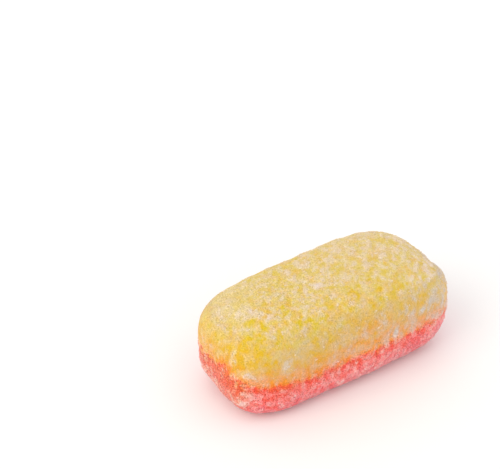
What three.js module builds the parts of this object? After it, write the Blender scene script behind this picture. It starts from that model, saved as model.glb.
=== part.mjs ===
// Rhubarb and custard boiled sweet: a pillow of hard sugar in two fused layers, a yellow
// custard half on a pink rhubarb half, lying on its broad face.
// Millimetres, +X along the sweet, +Y across it, +Z up. The origin is under its middle,
// on the surface that it rests on.

import * as THREE from 'three';
import { mergeVertices } from 'three/addons/utils/BufferGeometryUtils.js';

// Driving dimensions
const sweetLength = 30;
const sweetWidth = 14.8;
const sweetHeight = 12.2;
const restingDepth = 0.3; // how far the crown of the underside is worn flat
const layerGap = 0.3; // left between the two layers

// The pillow: 2 would be an ellipse, and a large number a box
const planSquareness = 4.3;
const sideSquareness = 4.1;

// How the press left it uneven
const widthGain = 0.071; // share by which it is wider at +X
const heightLoss = 0.078; // share by which its top is lower at +X
const endSag = 0.055; // share by which its top droops at both ends
const topLean = 0.028; // how far a point moves along X for each mm up
const endSlant = 0.015; // how far a point moves along X for each mm across

// Hollows pressed into the skin, and with a negative depth a swelling. Each is centred on
// a place given in shares of the half length, half width and half height.
const hollows = [
  { at: [0.1, -1, -0.85], across: 7, depth: 0.21 }, // low on the front
  { at: [-0.35, 1, 0.8], across: 6, depth: 0.25 }, // high on the back
  { at: [-1, -0.3, -0.85], across: 3.5, depth: -0.18 }, // low on the left end
  { at: [1, 0.1, 0.9], across: 3.5, depth: 0.08 }, // high on the right end
  { at: [-0.75, -1, -1], across: 3.5, depth: -0.24 }, // the lower front corner at the left
  { at: [0.62, 1, 1], across: 3, depth: 0.18 }, // the upper back corner at the right
  { at: [-0.9, 1, 0.6], across: 3, depth: -0.12 }, // the upper back corner at the left
];

// Lumps in the skin: waves that run in evenly spread directions
const broadLumps = { count: 7, wavelength: 10.5, depth: 0.055, phase: 5.1 };
const fineLumps = { count: 9, wavelength: 3.3, depth: 0.018, phase: 2.1 };

// The seam between the layers: its mean level, from half height, and its waves round the sweet
const seamLevel = -0.38;
const seamWaves = [
  { count: 1, height: 0.18, phase: 2.5 },
  { count: 2, height: 0.43, phase: -0.5 },
  { count: 3, height: 0.24, phase: -2.52 },
  { count: 5, height: 0.1, phase: -0.84 },
];
const seamDish = 0.5; // how far the hidden interface sinks in the middle

// Faces along the length, across the width and up each layer
const lengthFaces = 40;
const widthFaces = 20;
const layerFaces = 9;

const halfLength = sweetLength / 2;
const halfWidth = sweetWidth / 2;
const halfHeight = sweetHeight / 2;
const halfSize = new THREE.Vector3(halfLength, halfWidth, halfHeight);
const goldenAngle = Math.PI * (3 - Math.sqrt(5));

// How far the skin stands out at a point, from one set of lumps
function lumpHeight(point, lumps) {
  let height = 0;
  for (let i = 0; i < lumps.count; i += 1) {
    const rise = 1 - (2 * i + 1) / lumps.count;
    const flat = Math.sqrt(1 - rise * rise);
    const turn = goldenAngle * i + lumps.phase;
    const along = point.x * flat * Math.cos(turn) + point.y * flat * Math.sin(turn) + point.z * rise;
    const stretch = 1 + 0.25 * Math.cos(3 * turn); // no two waves are quite the same length
    height += lumps.depth * Math.sin((2 * Math.PI * along) / (lumps.wavelength * stretch) + 2 * turn);
  }
  return height;
}

// How deep the hollows are at a point of the smooth pillow
function hollowDepth(smooth) {
  return hollows.reduce((depth, hollow) => {
    const distance = smooth.distanceTo(new THREE.Vector3(...hollow.at).multiply(halfSize));
    return depth + hollow.depth * Math.exp(-((distance / hollow.across) ** 2));
  }, 0);
}

// The smooth pillow's distance from its centre in the direction u, v, w, where 1 is its skin
function pillowNorm(u, v, w) {
  const plan = Math.abs(u) ** planSquareness + Math.abs(v) ** planSquareness;
  return (plan ** (sideSquareness / planSquareness) + Math.abs(w) ** sideSquareness) ** (1 / sideSquareness);
}

// The point of the uneven skin in the direction u, v, w
function skinPoint(u, v, w) {
  const smooth = new THREE.Vector3(u, v, w).divideScalar(pillowNorm(u, v, w)).multiply(halfSize);
  const share = smooth.x / halfLength;
  const drop = ((smooth.z + halfHeight) / 2) * (heightLoss * share + endSag * share * share);
  const point = new THREE.Vector3(
    smooth.x + topLean * smooth.z + endSlant * smooth.y,
    smooth.y * (1 + widthGain * share),
    smooth.z - drop,
  );
  const standOut = lumpHeight(point, broadLumps) + lumpHeight(point, fineLumps) - hollowDepth(smooth);
  point.addScaledVector(smooth.normalize(), standOut);
  point.z = Math.max(point.z, restingDepth - halfHeight);
  return point;
}

// The w that puts a skin point on the seam in the plan direction u, v, raised by offset
function seamHeight(u, v, offset) {
  const turn = Math.atan2(v, u);
  const waves = seamWaves.reduce((sum, wave) => sum + wave.height * Math.cos(wave.count * turn - wave.phase), 0);
  return ((seamLevel + waves + offset) * pillowNorm(u, v, 0)) / halfHeight;
}

// One layer: a block of faces from the seam out to the top or the underside. side is 1 for
// the upper layer and -1 for the lower.
function layerGeometry(side) {
  const grid = new THREE.BoxGeometry(2, 2, 1, lengthFaces, widthFaces, layerFaces);
  grid.deleteAttribute('normal');
  grid.deleteAttribute('uv');
  const block = mergeVertices(grid);
  const place = block.getAttribute('position');
  const offset = (side * layerGap) / 2;
  const dishLevel = seamLevel + offset - seamDish;
  for (let i = 0; i < place.count; i += 1) {
    const u = place.getX(i);
    const v = place.getY(i);
    const rise = place.getZ(i) * side + 0.5; // 0 on the interface, 1 on the outer face
    const inward = Math.max(Math.abs(u), Math.abs(v)); // 1 on the wall, 0 in the middle
    const point = new THREE.Vector3(0, 0, dishLevel);
    if (rise > 0.999) {
      point.copy(skinPoint(u, v, side));
    } else if (inward > 0) {
      const rimU = u / inward;
      const rimV = v / inward;
      const start = seamHeight(rimU, rimV, offset);
      point.copy(skinPoint(rimU, rimV, start + (side - start) * rise));
      point.x *= inward;
      point.y *= inward;
      point.z = dishLevel + (point.z - dishLevel) * inward * inward;
    }
    place.setXYZ(i, point.x, point.y, point.z);
  }
  block.computeVertexNormals();
  return block;
}

function layerMesh(name, side, colour) {
  const material = new THREE.MeshStandardMaterial({ color: colour, roughness: 0.85, metalness: 0 });
  const mesh = new THREE.Mesh(layerGeometry(side), material);
  mesh.name = name;
  return mesh;
}

const sweet = new THREE.Group();
sweet.add(layerMesh('custard_layer', 1, 0xe6cc74));
sweet.add(layerMesh('rhubarb_layer', -1, 0xe8686c));

// Stand it on its resting spot, with the origin under its middle
const extent = new THREE.Box3().setFromObject(sweet, true);
const centre = extent.getCenter(new THREE.Vector3());
sweet.position.set(-centre.x, -centre.y, -extent.min.z);
sweet.updateMatrixWorld(true);

export default sweet;
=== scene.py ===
# Rhubarb and custard boiled sweet: a yellow custard layer on a pink rhubarb layer, dusted
# with icing sugar. The form is worked out in millimetres from the pillow's middle, with X
# along the sweet, Y across it and Z up. The finished meshes are in metres, in the row frame.

import math

import bmesh
import bpy
import numpy as np
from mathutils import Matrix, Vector, noise


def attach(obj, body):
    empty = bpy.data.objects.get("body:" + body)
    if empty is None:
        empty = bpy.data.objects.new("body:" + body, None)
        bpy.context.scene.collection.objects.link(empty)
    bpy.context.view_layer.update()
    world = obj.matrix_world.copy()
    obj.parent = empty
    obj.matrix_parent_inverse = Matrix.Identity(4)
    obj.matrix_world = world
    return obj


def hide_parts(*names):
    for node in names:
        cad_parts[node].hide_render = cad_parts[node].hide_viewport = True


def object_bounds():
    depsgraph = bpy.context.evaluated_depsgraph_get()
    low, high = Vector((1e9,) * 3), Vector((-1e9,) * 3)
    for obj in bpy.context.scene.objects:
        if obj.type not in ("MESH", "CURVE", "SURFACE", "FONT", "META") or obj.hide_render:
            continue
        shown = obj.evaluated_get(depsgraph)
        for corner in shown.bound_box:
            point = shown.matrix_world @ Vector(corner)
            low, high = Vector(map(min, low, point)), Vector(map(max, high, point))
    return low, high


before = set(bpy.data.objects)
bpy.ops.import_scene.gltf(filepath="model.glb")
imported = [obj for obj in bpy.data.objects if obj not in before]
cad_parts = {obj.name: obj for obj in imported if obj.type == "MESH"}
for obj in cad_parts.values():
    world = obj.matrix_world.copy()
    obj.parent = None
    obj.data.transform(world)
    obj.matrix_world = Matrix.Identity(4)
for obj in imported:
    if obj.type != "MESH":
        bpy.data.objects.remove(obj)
cadLow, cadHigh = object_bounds()

mm = 0.001
goldenAngle = math.pi * (3 - math.sqrt(5))


# The pillow's form

pillow = {
    "halfSize": np.array([15.0, 7.4, 6.1]),
    "planSquareness": 4.3,  # 2 would be an ellipse, and a large number a box
    "sideSquareness": 4.1,
    "restingDepth": 0.3,  # how far the crown of the underside is worn flat
    "widthGain": 0.071,  # share by which it is wider at +X
    "heightLoss": 0.078,  # share by which its top is lower at +X
    "endSag": 0.055,  # share by which its top droops at both ends
    "topLean": 0.028,  # how far a point moves along X for each mm up
    "endSlant": 0.015,  # how far a point moves along X for each mm across
}
halfSize = pillow["halfSize"]
restingLevel = pillow["restingDepth"] - halfSize[2]

hollows = [  # where, in shares of the half size, how wide and how deep
    {"at": (0.1, -1, -0.85), "across": 7.0, "depth": 0.21},  # low on the front
    {"at": (-0.35, 1, 0.8), "across": 6.0, "depth": 0.25},  # high on the back
    {"at": (-1, -0.3, -0.85), "across": 3.5, "depth": -0.18},  # low on the left end
    {"at": (1, 0.1, 0.9), "across": 3.5, "depth": 0.08},  # high on the right end
    {"at": (-0.75, -1, -1), "across": 3.5, "depth": -0.24},  # lower front corner, left
    {"at": (0.62, 1, 1), "across": 3.0, "depth": 0.18},  # upper back corner, right
    {"at": (-0.9, 1, 0.6), "across": 3.0, "depth": -0.12},  # upper back corner, left
]

lumps = [  # waves that run through the skin in evenly spread directions
    {"count": 7, "wavelength": 10.5, "depth": 0.055, "phase": 5.1},
    {"count": 9, "wavelength": 3.3, "depth": 0.018, "phase": 2.1},
]
lumpSpread = 0.25  # how much the waves of a set differ in length

seam = {
    "level": -0.38,  # from half height
    "waves": [  # how many round the sweet, how high, and their phase
        (1, 0.18, 2.5),
        (2, 0.43, -0.5),
        (3, 0.24, -2.52),
        (5, 0.1, -0.84),
    ],
    "dish": 0.5,  # how far the hidden interface sinks in the middle
}


def unit(vectors):
    return vectors / np.linalg.norm(vectors, axis=1)[:, None]


def lumpHeight(points, count, wavelength, depth, phase):
    height = np.zeros(len(points))
    for i in range(count):
        rise = 1 - (2 * i + 1) / count
        flat = math.sqrt(1 - rise * rise)
        turn = goldenAngle * i + phase
        along = points @ np.array([flat * math.cos(turn), flat * math.sin(turn), rise])
        stretch = 1 + lumpSpread * math.cos(3 * turn)
        height += depth * np.sin(2 * math.pi * along / (wavelength * stretch) + 2 * turn)
    return height


def hollowDepth(smooth):
    depth = np.zeros(len(smooth))
    for hollow in hollows:
        distance = np.linalg.norm(smooth - np.array(hollow["at"]) * halfSize, axis=1)
        depth += hollow["depth"] * np.exp(-((distance / hollow["across"]) ** 2))
    return depth


def pillowNorm(directions):
    u, v, w = np.abs(directions).T
    p, q = pillow["planSquareness"], pillow["sideSquareness"]
    return ((u**p + v**p) ** (q / p) + w**q) ** (1 / q)


def ontoPillow(directions):  # the smooth pillow's points, in shares of the half size
    return directions / pillowNorm(directions)[:, None]


def outwardOf(directions):  # the smooth pillow's normals
    p, q = pillow["planSquareness"], pillow["sideSquareness"]
    u, v, w = ontoPillow(directions).T
    plan = np.maximum(np.abs(u) ** p + np.abs(v) ** p, 1e-9) ** (q / p - 1)
    slopes = np.column_stack([
        plan * np.abs(u) ** (p - 1) * np.sign(u),
        plan * np.abs(v) ** (p - 1) * np.sign(v),
        np.abs(w) ** (q - 1) * np.sign(w),
    ])
    return unit(slopes / halfSize)


def skinPoints(directions):
    smooth = ontoPillow(directions) * halfSize
    x, y, z = smooth.T
    share = x / halfSize[0]
    sink = pillow["heightLoss"] * share + pillow["endSag"] * share**2
    points = np.column_stack([
        x + pillow["topLean"] * z + pillow["endSlant"] * y,
        y * (1 + pillow["widthGain"] * share),
        z - (z + halfSize[2]) / 2 * sink,
    ])
    standOut = sum(lumpHeight(points, **lump) for lump in lumps) - hollowDepth(smooth)
    return points + unit(smooth) * standOut[:, None]


def seamLevel(turn):
    return seam["level"] + sum(
        height * np.cos(count * turn - phase) for count, height, phase in seam["waves"]
    )


def restFlat(points):  # nothing reaches below the face that it rests on
    points[:, 2] = np.maximum(points[:, 2], restingLevel)
    return points


# Noise fields and shares

noises = {  # their size in millimetres, and a shift that sets each apart
    "broad": {"size": 3.4, "octaves": 2, "shift": 11.3},
    "ragged": {"size": 1.1, "octaves": 3, "shift": 57.3, "fall": 0.4},
    "hue": {"size": 1.0, "octaves": 2, "shift": 71.9},
    "pink": {"size": 0.6, "octaves": 1, "shift": 91.3},
    "dimples": {"size": 0.9, "octaves": 2, "shift": 19.0},
}
octaveRatio = 2.1  # how much finer each octave is than the one before

spans = {  # from where to where a share goes from none to all
    "topDust": (0.4, 0.88),  # the normal's way up, for the dust and then the colours
    "topColours": (0.7, 0.95),
    "leftDust": (0.5, 0.95),  # its way left, for both
    "leftColours": (0.45, 0.95),
    "right": (0.15, 0.6),  # its way right, and where it isn't too far up
    "rightSide": (0.8, 0.5),
    "front": (0, 0.4),  # its way to the front
    "rightEnd": (8, 14),  # millimetres along X
    "seamDust": (-0.6, 0.4),  # millimetres above the seam, for what changes across it
    "seamGrit": (-0.3, 1.8),
    "seamTone": (-0.5, 0.5),
    "pinkDust": (0, 0.6),  # millimetres from the seam
    "awayFromSeam": (0.2, 1.2),
    "nearSeam": (3, 1),
    "clots": (-0.35, 0.35),  # the noise, from bare to clot
    "dusted": (0.05, 0.4),  # the dust's cover
}


def noiseAt(points, size, octaves, shift, stretch=(1, 1, 1), fall=0.9):
    scaled = points / (np.array(stretch) * size) + shift
    return np.array([noise.fractal(p, fall, octaveRatio, octaves) for p in scaled.tolist()])


def shareOf(span, values):
    low, high = spans[span]
    share = np.clip((values - low) / (high - low), 0, 1)
    return share * share * (3 - 2 * share)


def acrossSeam(span, aboveSeam, onCustard, onRhubarb):
    return onRhubarb + (onCustard - onRhubarb) * shareOf(span, aboveSeam)


# Meshes and objects

def pointsOf(mesh):
    points = np.empty(len(mesh.vertices) * 3)
    mesh.vertices.foreach_get("co", points)
    return points.reshape(-1, 3)


def setPoints(mesh, points):
    mesh.vertices.foreach_set("co", points.ravel())
    mesh.update()


def setFields(mesh, fields):
    for label, values in fields.items():
        attribute = mesh.attributes.new(label, "FLOAT", "POINT")
        attribute.data.foreach_set("value", values.astype(np.float32))


def addObject(name, data):
    item = bpy.data.objects.new(name, data)
    bpy.context.scene.collection.objects.link(item)
    return item


# The two layers

layerCells = {"custard": (270, 136, 74), "rhubarb": (270, 136, 62)}

crust = {
    "relief": 0.08,  # how much higher a full coat of dust stands than bare sugar
    "levelCover": 0.3,  # the cover that stands level with the pillow's own skin
    "dimples": 0.010,
    # how much of the dust is even, broadly uneven, and in clots of each size
    "top": {"dust": 0.32, "broad": 0.06, "clots": (0.20, 0.24, 0.08), "shift": 3.7},
    "sides": {"dust": 0.23, "broad": 0.05, "clots": (0.15, 0.18, 0.07), "shift": 8.1},
    "clotSizes": (1.3, 0.6, 0.3),
    "plainClots": 0.5,  # the size below which they are plain blobs
    "clotShift": 9,  # sets their sizes apart
    "lie": math.radians(-36.7),  # the clots on top are longer this way, from -Y
    "longer": 1.4,  # by this much, and those on the sides upright
    "grit": (0.50, 1.05),  # how much the finest grain shades custard and rhubarb
    "bareGrit": (0.72, 0.85),  # and how much of that is left where it is bare
    "crest": 0.4,  # how much thicker the dust gets past this cover
    "crestFrom": 0.35,
    "rightwards": 0.05,  # how much thicker it gets towards +X, and then at the end
    "rightEnd": 0.07,
    "leftCoarser": (0.5, 0.6),  # how much more clotted the left end is, on custard and rhubarb
    "rightCoarser": 0.3,  # and the right end
    "pinkCoarser": 0.3,  # and all that is below the seam
    "seamCoarser": 0.6,  # and the seam itself
    "seamWidth": 0.8,  # to about this far from it
    "leftYellower": 0.28,  # how much sooner the left end turns yellow
    "ragged": 0.5,  # how far the colours stray across the seam
    "leftRagged": 0.45,  # and how much further on the left end
    "evenAbove": 6.0,  # the height from which the colours stay the same, and that of the top
    "bendAbove": 5.3,  # that height on the bend down to the front
    "topDrift": 0.2,  # how far past it the top's colours drift
    "hueDrift": 0.28,  # how far they drift elsewhere, as a share of the height above the seam
    "pinkDrift": 2.4,  # how far they drift below the seam
    "pinkReach": 0.5,  # at most this share of the way up to it
    "pinkBluer": 0.05,  # and how much they do so towards +X, for each mm
}

patches = [  # where there is more or less dust: the place, how wide, how tall, how much more
    ((-13.1, -4.0, 4.6), 1.8, 1.5, -0.17),  # bare places
    ((-11.4, -6.2, 3.4), 1.8, 1.8, -0.06),
    ((-15.0, -1.5, 0.6), 3.2, 3.0, -0.07),
    ((-15.0, -2.9, -0.9), 1.6, 1.1, -0.30),
    ((-1.0, -4.9, 5.9), 1.2, 0.8, -0.07),
    ((-11.2, -6.6, -2.4), 1.2, 0.9, -0.06),
    ((1.7, -7.5, 0.6), 1.2, 0.6, -0.08),
    ((-8.2, -3.5, 6.0), 2.2, 1.2, -0.09),
    ((-4.6, -5.3, 5.8), 1.8, 1.0, -0.08),
    ((3.0, -5.4, 5.6), 2.4, 1.0, -0.08),
    ((9.0, -3.9, 5.3), 2.1, 1.1, -0.12),
    ((11.6, -0.4, 5.1), 2.0, 1.4, -0.12),
    ((-5.3, 5.0, 5.6), 1.4, 1.2, -0.14),
    ((8.4, -7.5, -1.9), 3.6, 1.0, -0.12),
    ((-10.9, -6.6, -0.4), 1.5, 0.7, -0.10),
    ((-0.8, -7.3, -1.1), 1.2, 0.7, -0.11),
    ((2.6, -6.0, 5.4), 1.2, 1.2, -0.08),
    ((-8.2, -5.5, 5.6), 1.2, 1.0, -0.08),
    ((-11.2, -3.4, 5.7), 1.3, 1.0, -0.06),
    ((-7.8, -1.6, 6.2), 1.4, 1.0, -0.06),
    ((-4.3, -3.1, 6.2), 1.3, 1.0, -0.05),
    ((0.3, -3.0, 6.1), 1.4, 1.0, -0.06),
    ((3.6, -4.5, 5.8), 1.3, 1.0, -0.06),
    ((12.2, 0.6, 4.9), 1.2, 1.0, -0.05),
    ((-4.2, 4.8, 5.6), 1.1, 1.0, -0.10),
    ((-11.0, 2.9, 5.7), 2.0, 1.2, -0.05),
    ((1.0, -7.5, 0.6), 1.2, 0.8, -0.14),
    ((-6.2, -7.1, 1.0), 1.1, 0.6, -0.09),
    ((-5.3, -7.1, -2.0), 0.9, 0.7, -0.10),
    ((-10.6, -6.7, -0.8), 1.0, 0.6, -0.26),
    ((-11.3, -6.5, -3.3), 0.8, 0.6, -0.14),
    ((-14.9, -3.4, -0.7), 1.0, 1.0, -0.22),
    ((-12.3, 2.0, 5.3), 3.0, 2.2, 0.20),  # thick places
    ((-10.2, -6.5, 3.4), 3.2, 2.2, 0.06),
    ((-7.0, -6.8, 4.0), 1.2, 1.0, 0.05),
    ((-14.2, -1.6, 3.9), 1.2, 1.0, 0.07),
    ((-13.6, 2.5, 4.7), 1.4, 1.0, 0.06),
    ((10.2, 1.1, 5.4), 1.2, 0.8, 0.08),
    ((11.7, -6.5, 3.5), 1.5, 1.2, 0.08),
    ((-3.0, -7.1, 0.5), 2.0, 0.7, 0.06),
    ((-2.3, -7.2, -3.5), 0.9, 0.6, 0.22),
    ((2.5, -7.4, -3.0), 1.0, 0.6, 0.14),
    ((-12.6, -6.1, -1.6), 1.0, 1.0, 0.08),
    ((-14.4, -4.6, -2.7), 0.8, 0.7, 0.22),
    ((-12.0, -6.2, -1.8), 2.4, 0.8, 0.07),
    ((-14.9, 1.7, -2.2), 1.4, 1.3, 0.25),
    ((-15.0, 0.6, -0.5), 1.7, 0.9, 0.08),
    ((12.0, -7.0, 0.8), 0.8, 0.6, 0.18),
    ((-13.7, -4.9, 2.9), 0.8, 0.8, 0.12),
    ((-4.9, 1.5, 6.1), 1.0, 0.8, 0.08),
    ((8.2, -7.5, -0.3), 4.2, 0.6, 0.05),
    ((13.0, -6.0, -0.4), 2.2, 0.7, 0.12),
    ((-10.4, -1.9, 6.1), 1.2, 1.0, 0.08),
    ((-7.3, -3.0, 6.2), 0.7, 0.6, 0.13),
    ((-2.1, -6.3, 5.1), 1.0, 0.8, 0.16),
    ((9.3, 0.0, 5.5), 1.2, 1.0, 0.08),
    ((5.0, 4.0, 5.8), 1.2, 1.0, 0.12),
    ((-1.3, 1.6, 6.0), 1.2, 0.8, 0.11),
    ((6.5, -7.0, 4.3), 1.0, 0.7, 0.06),
    ((-2.5, -7.2, -1.8), 1.1, 1.1, 0.09),
    ((-8.3, -6.7, 4.2), 1.8, 1.0, 0.18),
    ((3.6, 3.0, 6.0), 3.0, 1.6, 0.06),
    ((11.3, -7.1, 1.6), 2.4, 2.4, 0.09),
    ((8.2, -7.5, 1.9), 2.8, 1.4, 0.09),
    ((-9.8, -6.8, 1.1), 3.0, 1.0, 0.10),
    ((-2.2, -7.2, 0.1), 4.0, 0.7, 0.09),
    ((-13.6, -5.3, -2.1), 1.4, 1.4, 0.20),
    ((-13.2, -5.6, 0.2), 1.5, 0.6, 0.16),
    ((0.8, -7.4, -2.9), 2.6, 0.9, 0.06),
    ((3.4, -7.5, -1.4), 1.8, 0.8, 0.07),
    ((6.0, -7.6, 0.6), 4.6, 0.9, 0.12),
    ((14.6, -4.0, 3.0), 3.2, 2.6, 0.10),
    ((-10.5, 0.0, 6.0), 0.7, 0.7, 0.14),
    ((-1.5, -0.8, 6.0), 0.9, 0.7, 0.16),
    ((1.1, -1.3, 6.1), 0.8, 0.7, 0.14),
    ((9.6, -1.0, 5.5), 0.8, 0.8, 0.12),
    ((8.6, -5.0, 5.1), 0.8, 0.6, 0.12),
    ((5.05, -7.5, 0.45), 0.32, 0.75, 0.60),  # marks on the front and the left end
    ((6.6, -7.2, 3.4), 0.35, 0.90, 0.40),
    ((8.0, -6.9, 3.9), 0.30, 0.60, 0.35),
    ((7.5, -7.4, 2.4), 0.60, 0.35, 0.30),
    ((9.1, -7.4, 2.0), 0.40, 0.40, 0.32),
    ((10.1, -7.2, 2.6), 0.35, 0.50, 0.28),
    ((7.5, -7.5, -0.1), 0.28, 0.60, 0.35),
    ((6.4, -7.5, 1.2), 0.35, 0.40, 0.22),
    ((3.4, -7.4, 2.8), 0.50, 0.80, 0.20),
    ((0.6, -7.3, 2.7), 0.40, 0.60, 0.25),
    ((0.2, -6.9, 4.1), 0.35, 0.50, 0.22),
    ((3.5, -7.5, -0.6), 0.40, 0.40, 0.25),
    ((-9.8, -6.8, 2.3), 0.70, 1.00, 0.24),
    ((-13.8, -5.2, 1.3), 0.60, 0.50, 0.24),
    ((-11.1, -6.6, -0.1), 0.25, 0.50, 0.45),
    ((-14.5, -4.6, -1.4), 0.30, 0.25, 0.45),
    ((-14.2, -2.8, 3.7), 0.45, 0.50, 0.20),
    ((-10.0, -1.4, 6.1), 0.60, 0.60, 0.38),  # marks on the top
    ((-9.7, -2.8, 6.1), 0.50, 0.60, 0.34),
    ((-10.6, 0.0, 6.0), 0.60, 0.60, 0.22),
    ((-4.4, -3.6, 6.1), 0.45, 0.60, 0.28),
    ((-1.8, -0.8, 6.1), 0.50, 0.60, 0.18),
    ((-11.2, -1.6, 5.9), 0.55, 0.60, -0.17),
    ((-10.9, -3.5, 5.8), 0.70, 0.60, -0.10),
    ((-9.3, -5.9, 5.1), 0.80, 0.60, -0.20),
]

zones = [  # where it is livelier: the place, how wide, and how much more of what
    ((-5.4, 1.0, 6.1), 5.0, {"grit": 0.14}),  # left of the middle of the top
    ((-8.5, -4.0, 6.0), 4.0, {"clots": 0.15, "grit": 0.05}),
    ((-9.4, -2.4, 6.0), 3.0, {"greener": -0.9}),
    ((-9.5, -6.6, 2.6), 3.6, {"clots": -0.05, "grit": -0.22, "greener": 0.4}),  # low on the front, left
    ((-12.6, -5.7, 2.8), (1.8, 1.8, 1.0), {"greener": 0.7}),  # the left corner, and its seam
    ((-12.8, -5.9, 0.8), (1.5, 1.5, 0.5), {"greener": -0.7}),
    ((-15.0, -3.0, 0.6), (2.0, 2.0, 0.9), {"greener": -0.5}),  # the seam of the left end
    ((-15.0, 1.0, 0.8), (1.5, 1.8, 0.9), {"greener": 0.9}),  # and behind that
    ((-14.6, -2.0, -1.8), (2.0, 4.0, 1.6), {"grit": 0.14}),  # below it
    ((-10.6, -6.7, -0.9), (1.2, 1.2, 0.5), {"greener": -0.8}),  # the seam near the left corner
    ((1.2, -7.2, 3.4), (3.2, 3.2, 1.7), {"greener": -1.3}),  # the middle of the front
    ((3.0, -7.5, -0.1), (6.0, 3.0, 0.6), {"greener": 0.55}),  # its seam
    ((10.8, -7.2, 0.4), (1.6, 2.0, 0.8), {"greener": -0.7}),  # right of it
    ((-2.0, -4.4, 5.8), (5.0, 2.2, 2.0), {"greener": -0.5}),  # above it
    ((11.0, -5.5, 3.6), 5.0, {"clots": 0.25, "grit": -0.16}),  # towards the front corner, right
    ((11.8, -6.9, 2.8), (2.8, 2.8, 1.4), {"greener": 1.2}),
    ((-12.0, 3.6, 5.5), 4.2, {"clots": -0.65, "grit": -0.05, "greener": 0.8}),  # back corner, left
    ((8.0, 6.0, 5.5), 4.0, {"clots": -0.25}),  # back edge, right
    ((5.0, 0.0, 6.0), (7.0, 6.0, 2.0), {"clots": -0.1, "grit": -0.05}),  # the top, right
]


def openBlock(cells):  # a block of fine cells that is open underneath
    block = bmesh.new()
    bmesh.ops.create_cube(block, size=2)
    underside = [face for face in block.faces if face.normal.z < -0.5]
    bmesh.ops.delete(block, geom=underside, context="FACES_ONLY")
    for axis in range(3):
        along = [
            edge for edge in block.edges
            if abs((edge.verts[0].co - edge.verts[1].co)[axis]) > 1.5
        ]
        bmesh.ops.subdivide_edges(block, edges=along, cuts=cells[axis] - 1, use_grid_fill=True)
    return block


def closeRim(block):  # the hidden interface is a fan from the sharp rim to the middle
    rim = [edge for edge in block.edges if edge.is_boundary]
    for edge in rim:
        edge.smooth = False
    made = bmesh.ops.contextual_create(block, geom=rim)
    bmesh.ops.poke(block, faces=made["faces"])


def blockMesh(name, side):  # the lower layer's block is upside down
    block = openBlock(layerCells[name])
    closeRim(block)
    if side < 0:
        bmesh.ops.scale(block, vec=(1, 1, -1), verts=block.verts)
        bmesh.ops.recalc_face_normals(block, faces=block.faces)
    for face in block.faces:
        face.smooth = True
    mesh = bpy.data.meshes.new(name + "Layer")
    block.to_mesh(mesh)
    block.free()
    return mesh


def layerForm(cube, side):  # the cube's Z times side is -1 on the interface, 1 on the outer face
    u, v, rise = cube[:, 0], cube[:, 1], (cube[:, 2] * side + 1) / 2
    inward = np.maximum(np.abs(u), np.abs(v))  # 1 on the wall, 0 in the middle
    rim = np.column_stack([u, v, np.zeros(len(u))]) / np.maximum(inward, 1e-6)[:, None]
    level = seamLevel(np.arctan2(v, u))
    start = level * pillowNorm(np.where(inward[:, None] > 0, rim, 1)) / halfSize[2]
    onFace = rise > 0.9999
    directions = np.column_stack([u, v, np.where(onFace, side, start + (side - start) * rise)])
    hidden = (inward < 0.5) & ~onFace  # the middle of the interface
    directions[hidden] = (1, 0, 0)
    points = skinPoints(directions)
    points[hidden] = (0, 0, seam["level"] - seam["dish"])
    aboveSeam = ontoPillow(directions)[:, 2] * halfSize[2] - level
    return points, outwardOf(directions), aboveSeam, hidden


def zoneShare(points, place, across):
    return np.exp(-(((points - np.array(place)) / across) ** 2).sum(axis=1))


def zoneSum(points, label):
    return sum(
        more[label] * zoneShare(points, place, across)
        for place, across, more in zones if label in more
    )


def dustCoat(points, coat, stretch, broad, *gains):
    cover = coat["dust"] + coat["broad"] * broad
    for i, size in enumerate(crust["clotSizes"]):
        octaves = 2 if size > crust["plainClots"] else 1
        shift = coat["shift"] + crust["clotShift"] * i
        clots = shareOf("clots", noiseAt(points, size, octaves, shift, stretch)) - 0.5
        clots *= coat["clots"][i]
        for gain in gains:
            clots *= gain
        cover += clots
    return cover


def dustCover(points, outward, aboveSeam):
    coarser = acrossSeam("seamDust", aboveSeam, *crust["leftCoarser"])
    coarser = 1 + coarser * shareOf("leftDust", -outward[:, 0])
    coarser += crust["pinkCoarser"] * shareOf("pinkDust", -aboveSeam)
    coarser += crust["seamCoarser"] * np.exp(-((aboveSeam / crust["seamWidth"]) ** 2))
    coarser += crust["rightCoarser"] * shareOf("right", outward[:, 0])
    lively = 1 + zoneSum(points, "clots")
    broad = noiseAt(points, **noises["broad"])
    cosine, sine = math.cos(crust["lie"]), math.sin(crust["lie"])
    lying = points @ np.array([[cosine, -sine, 0], [sine, cosine, 0], [0, 0, 1]])
    top = dustCoat(lying, crust["top"], (1, crust["longer"], 1), broad, lively)
    sides = dustCoat(points, crust["sides"], (1, 1, crust["longer"]), broad, lively, coarser)
    cover = sides + (top - sides) * shareOf("topDust", outward[:, 2])
    cover += crust["rightwards"] * points[:, 0] / halfSize[0]
    cover += crust["rightEnd"] * shareOf("rightEnd", points[:, 0])
    for place, across, tall, more in patches:
        cover += more * zoneShare(points, place, (across, across, tall))
    cover += crust["crest"] * np.maximum(cover - crust["crestFrom"], 0)
    return np.clip(cover, 0, 1)


def seamHeights(points, outward, aboveSeam):  # the height above the seam that the colours follow
    even, bend = crust["evenAbove"], crust["bendAbove"]
    height = np.minimum(aboveSeam, even + (bend - even) * shareOf("front", -outward[:, 1]))
    # skin that faces up takes the top's colours, whose dust is lighter than the sides' dust with its
    # painted shade
    height += (even - height) * shareOf("topColours", outward[:, 2])
    leftwards = shareOf("leftColours", -outward[:, 0])
    further = crust["leftRagged"] * leftwards * shareOf("nearSeam", np.abs(height))
    return height + (crust["ragged"] + further) * noiseAt(points, **noises["ragged"])


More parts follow.
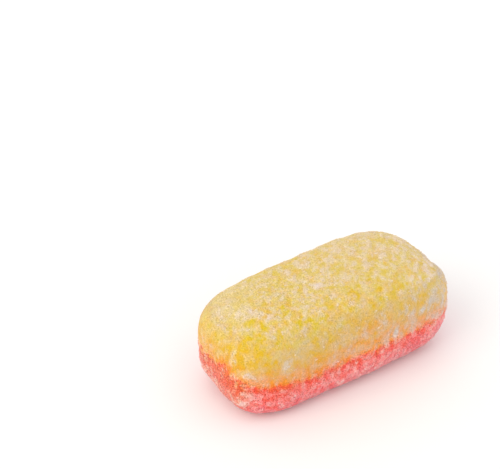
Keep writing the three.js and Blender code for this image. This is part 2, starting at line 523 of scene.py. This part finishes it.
def toneOf(points, outward, height):  # the same, drifting from place to place
    tone = height + zoneSum(points, "greener") * shareOf("seamTone", height)
    tone *= 1 + crust["hueDrift"] * noiseAt(points, **noises["hue"])
    tone = np.minimum(tone, crust["evenAbove"] + crust["topDrift"])
    drift = crust["pinkDrift"] * noiseAt(points, **noises["pink"])
    drift -= crust["pinkBluer"] * points[:, 0]
    drift = np.minimum(drift, -crust["pinkReach"] * height)
    tone += drift * shareOf("awayFromSeam", -height)
    yellower = crust["leftYellower"] * shareOf("leftColours", -outward[:, 0])
    return tone * (1 + yellower * (tone > 0))


def gritOf(points, height, cover):
    onCustard, onRhubarb = (
        amount * (bare + (1 - bare) * shareOf("dusted", cover))
        for amount, bare in zip(crust["grit"], crust["bareGrit"])
    )
    return acrossSeam("seamGrit", height, onCustard, onRhubarb) + zoneSum(points, "grit")


def makeLayer(name, side, material):
    mesh = blockMesh(name, side)
    skin, outward, aboveSeam, hidden = layerForm(pointsOf(mesh), side)
    cover = dustCover(skin, outward, aboveSeam)
    height = seamHeights(skin, outward, aboveSeam)
    # where the right end's painted fill light goes: the skin that faces +X and isn't too far up
    rightwards = shareOf("right", outward[:, 0]) * shareOf("rightSide", outward[:, 2])
    relief = crust["relief"] * (cover - crust["levelCover"])
    relief += crust["dimples"] * noiseAt(skin, **noises["dimples"])
    relief[hidden] = 0
    points = restFlat(skin + outward * relief[:, None])
    setPoints(mesh, points)
    setFields(mesh, {
        "dust": cover,
        "aboveSeam": height,
        "tone": toneOf(skin, outward, height),
        "grit": gritOf(points, height, cover),
        # where the left end's painted warm reflected light and painted shade go
        "leftwards": shareOf("leftColours", -outward[:, 0]),
        "rightwards": rightwards * shareOf("awayFromSeam", side * height),
    })
    mesh.materials.append(material)
    print(name, "layer:", len(mesh.polygons), "faces")
    return addObject(name + "Layer", mesh)


# Materials

def srgb(red, green, blue):
    def linear(value):
        value /= 255
        return value / 12.92 if value <= 0.04045 else ((value + 0.055) / 1.055) ** 2.4
    return linear(red), linear(green), linear(blue), 1.0


def newMaterial(name, finish):
    material = bpy.data.materials.new(name)
    material.use_nodes = True
    shader = material.node_tree.nodes["Principled BSDF"]
    for label, value in finish.items():
        shader.inputs[label].default_value = value
    return material, material.node_tree, shader


def attributeNode(tree, label):
    node = tree.nodes.new("ShaderNodeAttribute")
    node.attribute_name = label
    return node.outputs["Fac"]


def noiseNode(tree, size, detail, roughness, stretch, turn):
    coordinates = tree.nodes.new("ShaderNodeTexCoord")
    mapping = tree.nodes.new("ShaderNodeMapping")
    mapping.inputs["Scale"].default_value = [1 / (size * mm * s) for s in stretch]
    mapping.inputs["Rotation"].default_value = (0, 0, turn)
    texture = tree.nodes.new("ShaderNodeTexNoise")
    texture.inputs["Scale"].default_value = 1.0
    texture.inputs["Detail"].default_value = detail
    texture.inputs["Roughness"].default_value = roughness
    tree.links.new(coordinates.outputs["Object"], mapping.inputs["Vector"])
    tree.links.new(mapping.outputs["Vector"], texture.inputs["Vector"])
    return texture.outputs["Fac"]


def feed(tree, socket, value):  # a socket takes another one's output, or stays constant
    if isinstance(value, (int, float, tuple)):
        socket.default_value = value
    else:
        tree.links.new(value, socket)


def mathNode(tree, operation, *values, clamp=False):
    node = tree.nodes.new("ShaderNodeMath")
    node.operation = operation
    node.use_clamp = clamp
    for socket, value in zip(node.inputs, values):
        feed(tree, socket, value)
    return node.outputs[0]


def mixNode(tree, share, first, second, blend="MIX"):
    node = tree.nodes.new("ShaderNodeMix")
    node.data_type = "RGBA"
    node.blend_type = blend
    for i, value in ((0, share), (6, first), (7, second)):  # the sockets for colours
        feed(tree, node.inputs[i], value)
    return node.outputs[2]


def rampNode(tree, value, stops):
    node = tree.nodes.new("ShaderNodeValToRGB")
    while len(node.color_ramp.elements) < len(stops):
        node.color_ramp.elements.new(0.5)
    for element, (position, colour) in zip(node.color_ramp.elements, stops):
        element.position = position
        element.color = colour
    tree.links.new(value, node.inputs["Fac"])
    return node.outputs["Color"]


sugar = {
    "span": (-3.6, 8.4),  # millimetres above the seam, over which the colours run
    "bare": [
        # painted shade near the floor: this lowest stop is darker
        (-3.4, srgb(241, 93, 101)),
        (-2.0, srgb(251, 93, 91)),
        (-0.9, srgb(249, 83, 67)),
        (-0.4, srgb(244, 74, 46)),
        (-0.05, srgb(246, 104, 44)),
        (0.35, srgb(246, 134, 40)),
        (0.9, srgb(244, 151, 39)),
        (2.2, srgb(234, 167, 40)),
        (3.2, srgb(230, 177, 40)),
        (4.5, srgb(227, 180, 39)),
        (5.2, srgb(227, 185, 37)),
        (6.0, srgb(222, 189, 36)),
        (7.4, srgb(221, 199, 38)),
    ],
    "dust": [
        # painted shade near the floor: this lowest stop is darker
        (-3.4, srgb(245, 201, 201)),
        (-1.0, srgb(255, 200, 196)),
        (-0.1, srgb(244, 201, 184)),
        # painted shade: from here up to 5.3 the dust of the sides is greyer and darker than the top's
        # dust from 5.9 up
        (1.0, srgb(221, 202, 190)),
        (3.0, srgb(214, 205, 199)),
        (4.7, srgb(213, 202, 194)),
        (5.3, srgb(212, 198, 190)),
        (5.9, srgb(237, 219, 209)),
        (7.4, srgb(235, 226, 208)),
    ],
    "custard": {  # at each end, how much of which colour: painted warm reflected light and painted shade on the left end, painted fill light on the right end
        "leftBare": (0.06, srgb(196, 152, 56)),
        "leftDust": (0.7, srgb(250, 233, 184)),
        "rightBare": (0.6, srgb(240, 195, 78)),
        "rightDust": (0.6, srgb(243, 224, 208)),
        "fineDust": 0.26,  # how much the finest grain is dust, and how much it is shade
        "fineShade": 1.15,
    },
    "rhubarb": {
        "leftBare": (0.30, srgb(196, 112, 40)),
        "leftDust": (0.7, srgb(230, 210, 172)),
        "rightBare": (0.6, srgb(255, 97, 107)),
        "rightDust": (0.6, srgb(255, 208, 212)),
        "fineDust": 0.55,
        "fineShade": 0.98,
    },
    "grain": {"size": 0.14, "detail": 1, "roughness": 0.5},  # the finest grain
    "sparse": (0.5, 1.0),  # the even part of that grain, and the part in strong specks
    "roughness": (0.35, 0.5),  # what a full coat adds, and that of bare sugar
    "bump": 0.14,  # millimetres
    "dustBump": 0.3,  # how much a full coat stands out against the grain
    "finish": {"Sheen Weight": 0.25, "Sheen Roughness": 0.35, "Specular IOR Level": 0.15},
}


def heightRamp(tree, label, coat):
    low, high = sugar["span"]
    height = attributeNode(tree, label)
    share = mathNode(tree, "MULTIPLY_ADD", height, 1 / (high - low), -low / (high - low))
    stops = [((place - low) / (high - low), colour) for place, colour in sugar[coat]]
    return rampNode(tree, share, stops)


def tinted(tree, colour, towards, amount, tint):
    share = mathNode(tree, "MULTIPLY", attributeNode(tree, towards), amount)
    return mixNode(tree, share, colour, tint)


def sugarMaterial(name):
    own = sugar[name]
    material, tree, shader = newMaterial(name + "Sugar", sugar["finish"])
    bare = heightRamp(tree, "tone", "bare")
    # the left end's tints, here and on the dust, are painted warm reflected light and painted shade
    bare = tinted(tree, bare, "leftwards", *own["leftBare"])
    # the right end's tints, here and on the dust, are painted fill light
    bare = tinted(tree, bare, "rightwards", *own["rightBare"])
    dust = heightRamp(tree, "aboveSeam", "dust")
    dust = tinted(tree, dust, "leftwards", *own["leftDust"])
    dust = tinted(tree, dust, "rightwards", *own["rightDust"])

    stretch, turn = (1, crust["longer"], 1), -crust["lie"]
    grain = noiseNode(tree, **sugar["grain"], stretch=stretch, turn=turn)
    swing = mathNode(tree, "MULTIPLY_ADD", grain, 2.0, -1.0)
    even, strong = sugar["sparse"]
    size = mathNode(tree, "MULTIPLY_ADD", mathNode(tree, "ABSOLUTE", swing), strong, even)
    swing = mathNode(tree, "MULTIPLY", swing, size)
    swing = mathNode(tree, "MULTIPLY", swing, attributeNode(tree, "grit"))

    cover = attributeNode(tree, "dust")
    cover = mathNode(tree, "MULTIPLY_ADD", swing, own["fineDust"], cover, clamp=True)
    shade = mathNode(tree, "MULTIPLY_ADD", swing, own["fineShade"], 1.0)
    colour = mixNode(tree, 1.0, mixNode(tree, cover, bare, dust), shade, "MULTIPLY")
    feed(tree, shader.inputs["Base Color"], colour)
    rough = mathNode(tree, "MULTIPLY_ADD", cover, *sugar["roughness"])
    feed(tree, shader.inputs["Roughness"], rough)
    bump = tree.nodes.new("ShaderNodeBump")
    bump.inputs["Strength"].default_value = 1.0
    bump.inputs["Distance"].default_value = sugar["bump"] * mm
    height = mathNode(tree, "MULTIPLY_ADD", cover, sugar["dustBump"], grain)
    feed(tree, bump.inputs["Height"], height)
    feed(tree, shader.inputs["Normal"], bump.outputs["Normal"])
    return material


# Loose grains of icing sugar, seated in the skin

grains = {
    "custard": {
        "clots": 1900,
        "inClot": 6,
        "loose": 4600,
        "radius": (0.022, 0.08),
        "whiter": (0.10, 0.42),  # the smallest, and how much more the largest
    },
    "rhubarb": {
        "clots": 1000,
        "inClot": 5,
        "loose": 4500,
        "radius": (0.02, 0.075),
        "whiter": (0.13, 0.45),
    },
    "seed": 1961,
    "clotAcross": 0.09,
    "dustPower": 3,  # how much they keep to the thick dust
    "sizePower": 3,  # how rare the large ones are
    "inClotSize": (0.6, 1.1),  # how they differ in one clot
    "widestFace": 0.05,  # square millimetres, which leaves out the hidden interface
    "clearance": 0.15,  # from the floor
    "cube": 1.4,  # in radii
    "stretch": (0.5, 1.3),  # of each side
    "knobbly": 0.25,  # how far the corners stray
    "proud": 0.3,  # how far the middle stands out of the skin, in radii
    "white": srgb(255, 246, 236),
    "finish": {"Roughness": 0.75, "Specular IOR Level": 0.25},
}


def grainMaterial():
    material, tree, shader = newMaterial("icingSugar", grains["finish"])
    bare = heightRamp(tree, "aboveSeam", "bare")
    dust = heightRamp(tree, "aboveSeam", "dust")
    under = mixNode(tree, attributeNode(tree, "dust"), bare, dust)
    colour = mixNode(tree, attributeNode(tree, "whiter"), under, grains["white"])
    feed(tree, shader.inputs["Base Color"], colour)
    return material


def grainCube():
    seed = bmesh.new()
    bmesh.ops.create_cube(seed, size=grains["cube"])
    corners = np.array([vertex.co for vertex in seed.verts])
    faces = np.array([[vertex.index for vertex in face.verts] for face in seed.faces])
    seed.free()
    return corners, faces


def makeGrains(name, layer, material, draw):
    own = grains[name]
    spots = own["clots"] + own["loose"]
    repeats = np.where(np.arange(spots) < own["clots"], own["inClot"], 1)
    count = repeats.sum()
    mesh = layer.data
    mesh.calc_loop_triangles()
    corners = np.empty(len(mesh.loop_triangles) * 3, np.int32)
    mesh.loop_triangles.foreach_get("vertices", corners)
    corners = corners.reshape(-1, 3)
    triangles = pointsOf(mesh)[corners]
    fields = {}
    for label in ("dust", "aboveSeam"):
        fields[label] = np.empty(len(mesh.vertices), np.float32)
        mesh.attributes[label].data.foreach_get("value", fields[label])

    across = np.cross(triangles[:, 1] - triangles[:, 0], triangles[:, 2] - triangles[:, 0])
    area = np.linalg.norm(across, axis=1) / 2
    clear = triangles[:, :, 2].min(axis=1) > restingLevel + grains["clearance"]
    outer = (area < grains["widestFace"]) & clear
    weight = area * outer * fields["dust"][corners].mean(axis=1) ** grains["dustPower"]
    chosen = draw.choice(len(corners), spots, p=weight / weight.sum())
    shares = draw.dirichlet((1, 1, 1), spots)
    centres = np.repeat((triangles[chosen] * shares[:, :, None]).sum(axis=1), repeats, axis=0)
    chosen = np.repeat(chosen, repeats)
    largeness = np.repeat(draw.random(spots) ** grains["sizePower"], repeats)
    largeness *= draw.uniform(*grains["inClotSize"], count)
    normals = unit(across[chosen])
    spread = draw.normal(size=(count, 3)) * grains["clotAcross"]
    spread -= normals * (spread * normals).sum(axis=1)[:, None]
    centres += spread * (np.repeat(repeats, repeats) > 1)[:, None]

    cube, faces = grainCube()
    small, large = own["radius"]
    radius = (small + (large - small) * largeness)[:, None]
    shape = cube[None] * draw.uniform(*grains["stretch"], (count, 1, 3))
    shape *= 1 + draw.uniform(-grains["knobbly"], grains["knobbly"], (count, len(cube), 1))
    turns = np.linalg.qr(draw.normal(size=(count, 3, 3)))[0]
    turns[:, :, 0] *= np.sign(np.linalg.det(turns))[:, None]
    shape = np.einsum("nij,nvj->nvi", turns, shape) * radius[:, None]
    centres = centres + normals * radius * grains["proud"]
    points = (centres[:, None] + shape).reshape(-1, 3)
    faces = (faces[None] + np.arange(count)[:, None, None] * len(cube)).reshape(-1, 4)

    grainMesh = bpy.data.meshes.new(name + "Grains")
    grainMesh.from_pydata(points.tolist(), [], faces.tolist())
    least, more = own["whiter"]
    values = {label: field[corners[chosen, 0]] for label, field in fields.items()}
    values["whiter"] = (least + more * largeness).astype(np.float32)
    setFields(grainMesh, {label: np.repeat(each, len(cube)) for label, each in values.items()})
    grainMesh.materials.append(material)
    grainMesh.update()
    print(name, "grains:", len(grainMesh.polygons), "faces")
    return addObject(name + "Grains", grainMesh)


# Camera, floor and light

photo = {
    "width": 500,
    "height": 469,
    "lens": 150.0,  # this, the sensor and the distance are in millimetres
    "sensor": 36.0,
    "azimuth": math.radians(-36.7),
    "elevation": math.radians(39.0),
    "distance": 244.3,
    "middlePixel": (322.1, 317.9),  # where the pillow's middle falls
}

paper = {
    "halfWidth": 1.5,  # metres
    "finish": {"Base Color": (0.96, 0.96, 0.96, 1), "Roughness": 0.9},
}

lights = {
    "sky": 0.98,
    "key": {"place": (-0.55, -0.05, 0.5), "size": 0.5, "power": 1.45, "tint": (1, 0.94, 0.80)},
}


def makeCamera(middle):
    cosine = math.cos(photo["elevation"])
    back = Vector((
        math.sin(photo["azimuth"]) * cosine,
        -math.cos(photo["azimuth"]) * cosine,
        math.sin(photo["elevation"]),
    ))
    pixel = photo["sensor"] / photo["lens"] / photo["width"]
    aside = (photo["middlePixel"][0] - photo["width"] / 2) * pixel
    below = (photo["middlePixel"][1] - photo["height"] / 2) * pixel
    ahead = -back
    for _ in range(8):  # turn it, without a tilt, until the middle falls on its pixel
        right = ahead.cross(Vector((0, 0, 1))).normalized()
        up = right.cross(ahead)
        ahead = (up * below - right * aside - back * math.hypot(1, aside, below)).normalized()
    data = bpy.data.cameras.new("camera")
    data.lens = photo["lens"]
    data.sensor_width = photo["sensor"]
    data.clip_start = 0.01
    data.clip_end = 10
    camera = addObject("camera", data)
    camera.location = middle + back * photo["distance"] * mm
    camera.rotation_euler = ahead.to_track_quat("-Z", "Y").to_euler()
    bpy.context.scene.camera = camera


def makeFloor():
    slab = bmesh.new()
    bmesh.ops.create_grid(slab, x_segments=1, y_segments=1, size=paper["halfWidth"])
    mesh = bpy.data.meshes.new("floor")
    slab.to_mesh(mesh)
    slab.free()
    mesh.materials.append(newMaterial("palePaper", paper["finish"])[0])
    floor = addObject("floor", mesh)


def makeLights():
    world = bpy.data.worlds.new("studio")
    world.use_nodes = True
    background = world.node_tree.nodes["Background"]
    background.inputs["Color"].default_value = (1, 1, 1, 1)
    background.inputs["Strength"].default_value = lights["sky"]
    bpy.context.scene.world = world
    key = lights["key"]
    data = bpy.data.lights.new("key", "AREA")
    data.size = key["size"]
    data.energy = key["power"]
    data.color = key["tint"]
    lamp = addObject("key", data)
    lamp.location = key["place"]
    lamp.rotation_euler = (-Vector(key["place"])).to_track_quat("-Z", "Y").to_euler()
    bpy.context.scene.view_settings.view_transform = "Standard"


# Putting it together

pieces = {}
for name, side in (("custard", 1), ("rhubarb", -1)):
    pieces[name] = makeLayer(name, side, sugarMaterial(name))

corners = np.array([corner for piece in pieces.values() for corner in piece.bound_box])
middle = (cadLow + cadHigh) / 2
shift = Vector((  # where the pillow's middle goes in the row frame
    middle.x - (corners[:, 0].min() + corners[:, 0].max()) / 2 * mm,
    middle.y - (corners[:, 1].min() + corners[:, 1].max()) / 2 * mm,
    -restingLevel * mm,
))
draw = np.random.default_rng(grains["seed"])
icing = grainMaterial()
for name in ("custard", "rhubarb"):
    pieces[name + "Grains"] = makeGrains(name, pieces[name], icing, draw)
for name, piece in pieces.items():
    setPoints(piece.data, pointsOf(piece.data) * mm + np.array(shift))
    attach(piece, "root")
print("pieces:", ", ".join(pieces))

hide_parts("custard_layer")
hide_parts("rhubarb_layer")

makeFloor()
makeLights()
makeCamera(shift)
print("floor, light and camera placed")
